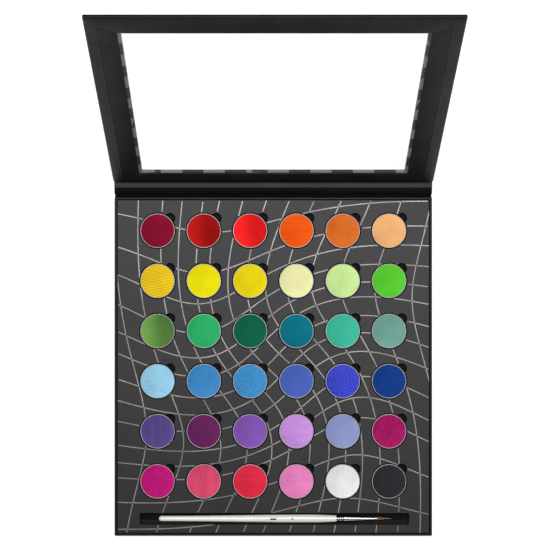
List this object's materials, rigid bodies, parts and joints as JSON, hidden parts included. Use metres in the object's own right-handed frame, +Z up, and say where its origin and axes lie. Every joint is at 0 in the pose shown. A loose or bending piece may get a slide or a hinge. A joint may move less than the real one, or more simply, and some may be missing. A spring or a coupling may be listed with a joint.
{
  "type": "watercolor pan set",
  "caption": "Book-style board palette: round pans of pressed water colour in notched wells and a fine brush in a slot, under a hinged lid with a clear window.",
  "frame": {"origin": "centre of the tray's footprint, on the underside of the base", "axes": "+Z up from the table, +Y from the brush slot towards the hinged lid, +X to the right as seen by the person using it"},
  "size_m": [0.2424, 0.3592, 0.249],
  "materials": {
    "outer_paper": "satin",
    "greyboard": "matte",
    "liner_paper": "satin",
    "printed_card": "satin",
    "foam": "matte",
    "magnetic_sheet": "matte",
    "closure_magnet": "satin",
    "clear_film": "gloss",
    "handle_lacquer": "gloss",
    "ferrule_metal": "polished",
    "brush_glue": "satin",
    "brush_fibre": "satin",
    "pan_burgundy_paint": "matte",
    "pan_dark_red_paint": "matte",
    "pan_scarlet_paint": "matte",
    "pan_orange_paint": "matte",
    "pan_burnt_orange_paint": "matte",
    "pan_peach_paint": "matte",
    "pan_golden_yellow_paint": "matte",
    "pan_yellow_paint": "matte",
    "pan_mustard_yellow_paint": "matte",
    "pan_cream_paint": "matte",
    "pan_pale_green_paint": "matte",
    "pan_bright_green_paint": "matte",
    "pan_olive_green_paint": "matte",
    "pan_emerald_paint": "matte",
    "pan_dark_green_paint": "matte",
    "pan_teal_paint": "matte",
    "pan_mint_paint": "matte",
    "pan_sage_paint": "matte",
    "pan_light_blue_paint": "matte",
    "pan_sky_blue_paint": "matte",
    "pan_mid_blue_paint": "matte",
    "pan_steel_blue_paint": "matte",
    "pan_ultramarine_paint": "matte",
    "pan_navy_paint": "matte",
    "pan_dark_violet_paint": "matte",
    "pan_plum_paint": "matte",
    "pan_purple_paint": "matte",
    "pan_lilac_paint": "matte",
    "pan_lavender_paint": "matte",
    "pan_magenta_paint": "matte",
    "pan_hot_pink_paint": "matte",
    "pan_rose_paint": "matte",
    "pan_crimson_paint": "matte",
    "pan_pink_paint": "matte",
    "pan_white_paint": "matte",
    "pan_black_paint": "matte"
  },
  "bodies": {
    "base": {"base_wrap_paper": "outer_paper", "base_board": "greyboard", "base_liner_paper": "liner_paper", "front_wall": "greyboard", "back_wall": "greyboard", "left_wall": "greyboard", "right_wall": "greyboard", "tray_wrap_paper": "outer_paper", "magnet_sheet": "magnetic_sheet", "foam_insert": "foam", "printed_card": "printed_card", "base_closure_magnets": "closure_magnet"},
    "spine": {"spine_wrap_paper": "outer_paper", "spine_board": "greyboard", "spine_liner_paper": "liner_paper"},
    "lid": {"lid_wrap_paper": "outer_paper", "lid_board": "greyboard", "lid_closure_magnets": "closure_magnet", "window_film": "clear_film", "lid_liner_frame": "liner_paper"},
    "brush": {"brush_handle": "handle_lacquer", "brush_ferrule": "ferrule_metal", "ferrule_glue_plug": "brush_glue", "brush_hair": "brush_fibre"},
    "pan_burgundy": {"pan_burgundy": "pan_burgundy_paint"},
    "pan_dark_red": {"pan_dark_red": "pan_dark_red_paint"},
    "pan_scarlet": {"pan_scarlet": "pan_scarlet_paint"},
    "pan_orange": {"pan_orange": "pan_orange_paint"},
    "pan_burnt_orange": {"pan_burnt_orange": "pan_burnt_orange_paint"},
    "pan_peach": {"pan_peach": "pan_peach_paint"},
    "pan_golden_yellow": {"pan_golden_yellow": "pan_golden_yellow_paint"},
    "pan_yellow": {"pan_yellow": "pan_yellow_paint"},
    "pan_mustard_yellow": {"pan_mustard_yellow": "pan_mustard_yellow_paint"},
    "pan_cream": {"pan_cream": "pan_cream_paint"},
    "pan_pale_green": {"pan_pale_green": "pan_pale_green_paint"},
    "pan_bright_green": {"pan_bright_green": "pan_bright_green_paint"},
    "pan_olive_green": {"pan_olive_green": "pan_olive_green_paint"},
    "pan_emerald": {"pan_emerald": "pan_emerald_paint"},
    "pan_dark_green": {"pan_dark_green": "pan_dark_green_paint"},
    "pan_teal": {"pan_teal": "pan_teal_paint"},
    "pan_mint": {"pan_mint": "pan_mint_paint"},
    "pan_sage": {"pan_sage": "pan_sage_paint"},
    "pan_light_blue": {"pan_light_blue": "pan_light_blue_paint"},
    "pan_sky_blue": {"pan_sky_blue": "pan_sky_blue_paint"},
    "pan_mid_blue": {"pan_mid_blue": "pan_mid_blue_paint"},
    "pan_steel_blue": {"pan_steel_blue": "pan_steel_blue_paint"},
    "pan_ultramarine": {"pan_ultramarine": "pan_ultramarine_paint"},
    "pan_navy": {"pan_navy": "pan_navy_paint"},
    "pan_dark_violet": {"pan_dark_violet": "pan_dark_violet_paint"},
    "pan_plum": {"pan_plum": "pan_plum_paint"},
    "pan_purple": {"pan_purple": "pan_purple_paint"},
    "pan_lilac": {"pan_lilac": "pan_lilac_paint"},
    "pan_lavender": {"pan_lavender": "pan_lavender_paint"},
    "pan_magenta": {"pan_magenta": "pan_magenta_paint"},
    "pan_hot_pink": {"pan_hot_pink": "pan_hot_pink_paint"},
    "pan_rose": {"pan_rose": "pan_rose_paint"},
    "pan_crimson": {"pan_crimson": "pan_crimson_paint"},
    "pan_pink": {"pan_pink": "pan_pink_paint"},
    "pan_white": {"pan_white": "pan_white_paint"},
    "pan_black": {"pan_black": "pan_black_paint"}
  },
  "joints": [
    {"name": "spine_fold", "type": "hinge", "parent": "base", "child": "spine", "pos_m": [0, 0.1307, 0.00015], "axis": [-1, 0, 0], "range_deg": [-70, 20]},
    {"name": "lid_fold", "type": "hinge", "parent": "spine", "child": "lid", "pos_m": [0, 0.14151, 0.00408], "axis": [-1, 0, 0], "range_deg": [-40, 50]},
    {"name": "brush_lift", "type": "slide", "parent": "base", "child": "brush", "axis": [0, 0, 1], "range_m": [0, 0.04]},
    {"name": "pan_burgundy_lift", "type": "slide", "parent": "base", "child": "pan_burgundy", "axis": [0, 0, 1], "range_m": [0, 0.012]},
    {"name": "pan_dark_red_lift", "type": "slide", "parent": "base", "child": "pan_dark_red", "axis": [0, 0, 1], "range_m": [0, 0.012]},
    {"name": "pan_scarlet_lift", "type": "slide", "parent": "base", "child": "pan_scarlet", "axis": [0, 0, 1], "range_m": [0, 0.012]},
    {"name": "pan_orange_lift", "type": "slide", "parent": "base", "child": "pan_orange", "axis": [0, 0, 1], "range_m": [0, 0.012]},
    {"name": "pan_burnt_orange_lift", "type": "slide", "parent": "base", "child": "pan_burnt_orange", "axis": [0, 0, 1], "range_m": [0, 0.012]},
    {"name": "pan_peach_lift", "type": "slide", "parent": "base", "child": "pan_peach", "axis": [0, 0, 1], "range_m": [0, 0.012]},
    {"name": "pan_golden_yellow_lift", "type": "slide", "parent": "base", "child": "pan_golden_yellow", "axis": [0, 0, 1], "range_m": [0, 0.012]},
    {"name": "pan_yellow_lift", "type": "slide", "parent": "base", "child": "pan_yellow", "axis": [0, 0, 1], "range_m": [0, 0.012]},
    {"name": "pan_mustard_yellow_lift", "type": "slide", "parent": "base", "child": "pan_mustard_yellow", "axis": [0, 0, 1], "range_m": [0, 0.012]},
    {"name": "pan_cream_lift", "type": "slide", "parent": "base", "child": "pan_cream", "axis": [0, 0, 1], "range_m": [0, 0.012]},
    {"name": "pan_pale_green_lift", "type": "slide", "parent": "base", "child": "pan_pale_green", "axis": [0, 0, 1], "range_m": [0, 0.012]},
    {"name": "pan_bright_green_lift", "type": "slide", "parent": "base", "child": "pan_bright_green", "axis": [0, 0, 1], "range_m": [0, 0.012]},
    {"name": "pan_olive_green_lift", "type": "slide", "parent": "base", "child": "pan_olive_green", "axis": [0, 0, 1], "range_m": [0, 0.012]},
    {"name": "pan_emerald_lift", "type": "slide", "parent": "base", "child": "pan_emerald", "axis": [0, 0, 1], "range_m": [0, 0.012]},
    {"name": "pan_dark_green_lift", "type": "slide", "parent": "base", "child": "pan_dark_green", "axis": [0, 0, 1], "range_m": [0, 0.012]},
    {"name": "pan_teal_lift", "type": "slide", "parent": "base", "child": "pan_teal", "axis": [0, 0, 1], "range_m": [0, 0.012]},
    {"name": "pan_mint_lift", "type": "slide", "parent": "base", "child": "pan_mint", "axis": [0, 0, 1], "range_m": [0, 0.012]},
    {"name": "pan_sage_lift", "type": "slide", "parent": "base", "child": "pan_sage", "axis": [0, 0, 1], "range_m": [0, 0.012]},
    {"name": "pan_light_blue_lift", "type": "slide", "parent": "base", "child": "pan_light_blue", "axis": [0, 0, 1], "range_m": [0, 0.012]},
    {"name": "pan_sky_blue_lift", "type": "slide", "parent": "base", "child": "pan_sky_blue", "axis": [0, 0, 1], "range_m": [0, 0.012]},
    {"name": "pan_mid_blue_lift", "type": "slide", "parent": "base", "child": "pan_mid_blue", "axis": [0, 0, 1], "range_m": [0, 0.012]},
    {"name": "pan_steel_blue_lift", "type": "slide", "parent": "base", "child": "pan_steel_blue", "axis": [0, 0, 1], "range_m": [0, 0.012]},
    {"name": "pan_ultramarine_lift", "type": "slide", "parent": "base", "child": "pan_ultramarine", "axis": [0, 0, 1], "range_m": [0, 0.012]},
    {"name": "pan_navy_lift", "type": "slide", "parent": "base", "child": "pan_navy", "axis": [0, 0, 1], "range_m": [0, 0.012]},
    {"name": "pan_dark_violet_lift", "type": "slide", "parent": "base", "child": "pan_dark_violet", "axis": [0, 0, 1], "range_m": [0, 0.012]},
    {"name": "pan_plum_lift", "type": "slide", "parent": "base", "child": "pan_plum", "axis": [0, 0, 1], "range_m": [0, 0.012]},
    {"name": "pan_purple_lift", "type": "slide", "parent": "base", "child": "pan_purple", "axis": [0, 0, 1], "range_m": [0, 0.012]},
    {"name": "pan_lilac_lift", "type": "slide", "parent": "base", "child": "pan_lilac", "axis": [0, 0, 1], "range_m": [0, 0.012]},
    {"name": "pan_lavender_lift", "type": "slide", "parent": "base", "child": "pan_lavender", "axis": [0, 0, 1], "range_m": [0, 0.012]},
    {"name": "pan_magenta_lift", "type": "slide", "parent": "base", "child": "pan_magenta", "axis": [0, 0, 1], "range_m": [0, 0.012]},
    {"name": "pan_hot_pink_lift", "type": "slide", "parent": "base", "child": "pan_hot_pink", "axis": [0, 0, 1], "range_m": [0, 0.012]},
    {"name": "pan_rose_lift", "type": "slide", "parent": "base", "child": "pan_rose", "axis": [0, 0, 1], "range_m": [0, 0.012]},
    {"name": "pan_crimson_lift", "type": "slide", "parent": "base", "child": "pan_crimson", "axis": [0, 0, 1], "range_m": [0, 0.012]},
    {"name": "pan_pink_lift", "type": "slide", "parent": "base", "child": "pan_pink", "axis": [0, 0, 1], "range_m": [0, 0.012]},
    {"name": "pan_white_lift", "type": "slide", "parent": "base", "child": "pan_white", "axis": [0, 0, 1], "range_m": [0, 0.012]},
    {"name": "pan_black_lift", "type": "slide", "parent": "base", "child": "pan_black", "axis": [0, 0, 1], "range_m": [0, 0.012]}
  ]
}
